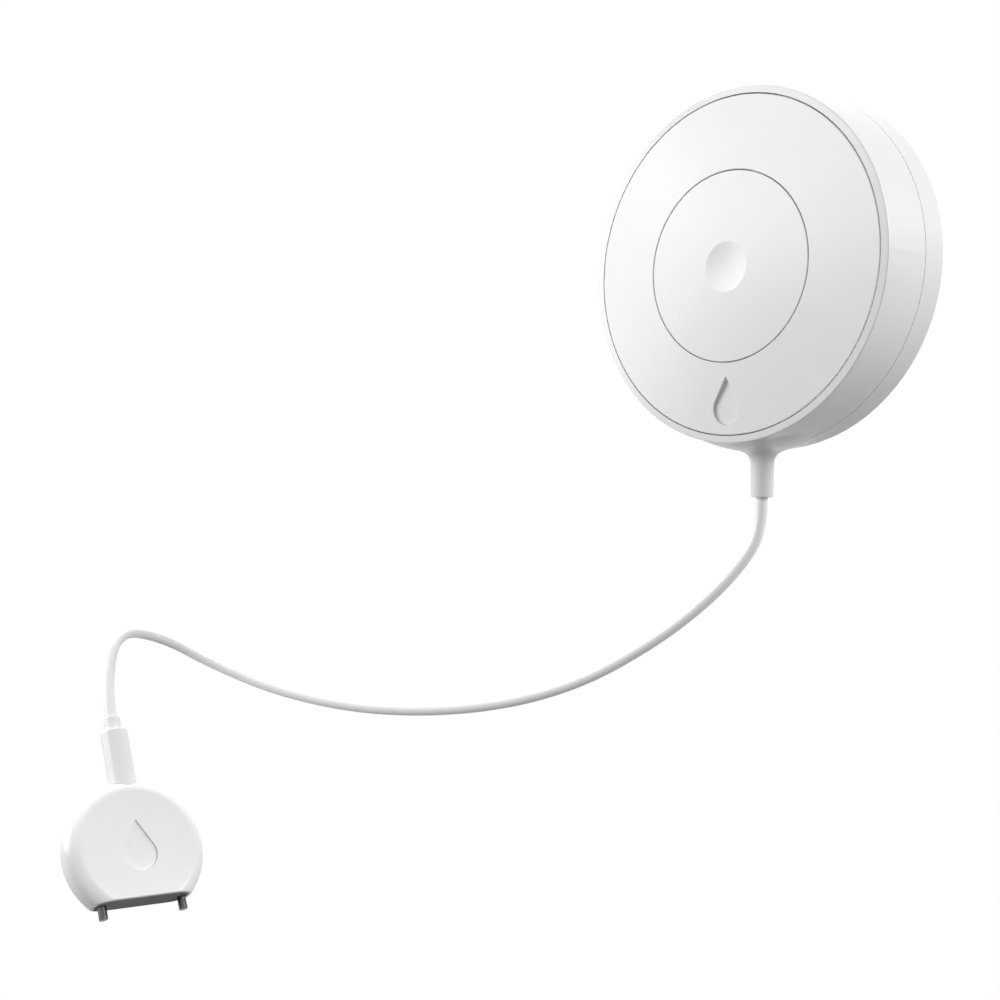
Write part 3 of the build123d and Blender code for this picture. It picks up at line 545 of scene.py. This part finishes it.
def paperMaterial(name, look):
    # white to the camera, a shade less in reflections, plain paper to the light that falls on it
    material, tree, shader = startMaterial(name)
    shader.inputs["Base Color"].default_value = linearColour(look["floorColour"])
    shader.inputs["Roughness"].default_value = look["floorRoughness"]
    glow = addNode(tree, "ShaderNodeEmission",
                   {"Color": (1, 1, 1, 1), "Strength": look["floorGlow"]})
    rays = addNode(tree, "ShaderNodeLightPath").outputs
    seen = addNode(tree, "ShaderNodeMath", {"operation": "MAXIMUM"})
    tree.links.new(rays["Is Camera Ray"], seen.inputs[0])
    tree.links.new(rays["Is Transmission Ray"], seen.inputs[1])
    share = addNode(tree, "ShaderNodeMath", {"operation": "MULTIPLY_ADD"})
    tree.links.new(rays["Is Glossy Ray"], share.inputs[0])
    share.inputs[1].default_value = look["glossShare"]
    tree.links.new(seen.outputs["Value"], share.inputs[2])
    most = addNode(tree, "ShaderNodeMath", {"operation": "MINIMUM"})
    tree.links.new(share.outputs["Value"], most.inputs[0])
    most.inputs[1].default_value = look["mostShare"]
    mix = addNode(tree, "ShaderNodeMixShader", {}, {"Fac": most.outputs["Value"]})
    tree.links.new(shader.outputs["BSDF"], mix.inputs[1])
    tree.links.new(glow.outputs["Emission"], mix.inputs[2])
    tree.links.new(mix.outputs["Shader"], tree.nodes["Material Output"].inputs["Surface"])
    return material


def addFloor(look):
    mesh = bpy.data.meshes.new("studioFloor")
    half = look["floorSize"] / 2
    corners = [(-half, -half), (half, -half), (half, half), (-half, half)]
    mesh.from_pydata([(x, y, look["floorHeight"]) for x, y in corners], [], [(0, 1, 2, 3)])
    mesh.materials.append(paperMaterial("paleStudioPaper", look))
    floor = bpy.data.objects.new("studioFloor", mesh)
    bpy.context.collection.objects.link(floor)


def addLamp(name, turn, height, power, look):
    lamp = bpy.data.lights.new(name, "AREA")
    lamp.shape = "DISK"
    lamp.size = look["lampSize"]
    lamp.energy = power
    piece = bpy.data.objects.new(name, lamp)
    away = Vector((cos(radians(turn)) * cos(radians(height)),
                   sin(radians(turn)) * cos(radians(height)),
                   sin(radians(height))))
    piece.location = Vector(look["aim"]) + away * look["lampDistance"]
    piece.rotation_euler = away.to_track_quat("Z", "Y").to_euler()
    bpy.context.collection.objects.link(piece)


def addWorld(name, look):
    # full white in view and in reflections, a weaker fill on what scatters light
    world = bpy.data.worlds.new(name)
    world.use_nodes = True
    sky = world.node_tree
    background = sky.nodes["Background"]
    rays = addNode(sky, "ShaderNodeLightPath")
    strength = addNode(sky, "ShaderNodeMapRange",
                       {"To Min": look["skyStrength"], "To Max": look["fillStrength"]},
                       {"Value": rays.outputs["Is Diffuse Ray"]})
    background.inputs["Color"].default_value = (1, 1, 1, 1)
    sky.links.new(strength.outputs["Result"], background.inputs["Strength"])
    bpy.context.scene.world = world


addFloor(studio)
for name, turn, height, power in studio["lamps"]:
    addLamp(name, turn, height, power, studio)
addWorld("paleStudio", studio)

# The photograph's place, direction and field of view
view = {
    "place": (173.95 * mm, -251.7 * mm, -38.55 * mm),
    "heading": 47.47,
    "tilt": -3.13,
    "lens": 43.78,
    "sensorWidth": 36,
    "clipStart": 10 * mm,
}
camera = bpy.data.objects.new("photoCamera", bpy.data.cameras.new("photoCamera"))
camera.data.sensor_width = view["sensorWidth"]
camera.data.lens = view["lens"]
camera.data.clip_start = view["clipStart"]
camera.location = view["place"]
camera.rotation_euler = (radians(90 + view["tilt"]), 0, radians(view["heading"]))
bpy.context.collection.objects.link(camera)
bpy.context.scene.camera = camera
bpy.context.scene.view_settings.view_transform = "Standard"
print("studio made")
